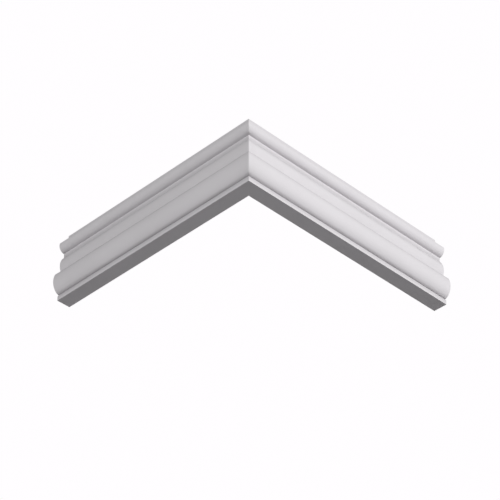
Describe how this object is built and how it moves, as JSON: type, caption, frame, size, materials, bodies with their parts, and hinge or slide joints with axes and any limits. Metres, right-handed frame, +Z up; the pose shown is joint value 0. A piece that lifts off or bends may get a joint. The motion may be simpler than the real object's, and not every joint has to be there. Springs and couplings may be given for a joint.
{
  "type": "wall moulding corner",
  "caption": "White wall moulding carried round an outside corner: mitred lengths of a beaded profile with flat backs for the wall and square-cut ends.",
  "frame": {"origin": "bottom centre of the box round both lengths, on the plane of the underside", "axes": "+Z up the wall, +X along the right-hand length away from the corner, +Y along the left-hand length away from the corner"},
  "size_m": [0.3326, 0.3216, 0.1],
  "materials": {
    "white_primer": "matt white primer on rigid foam, cut square at the ends"
  },
  "bodies": {
    "root": {"right_length": "white_primer", "left_length": "white_primer"}
  },
  "joints": []
}
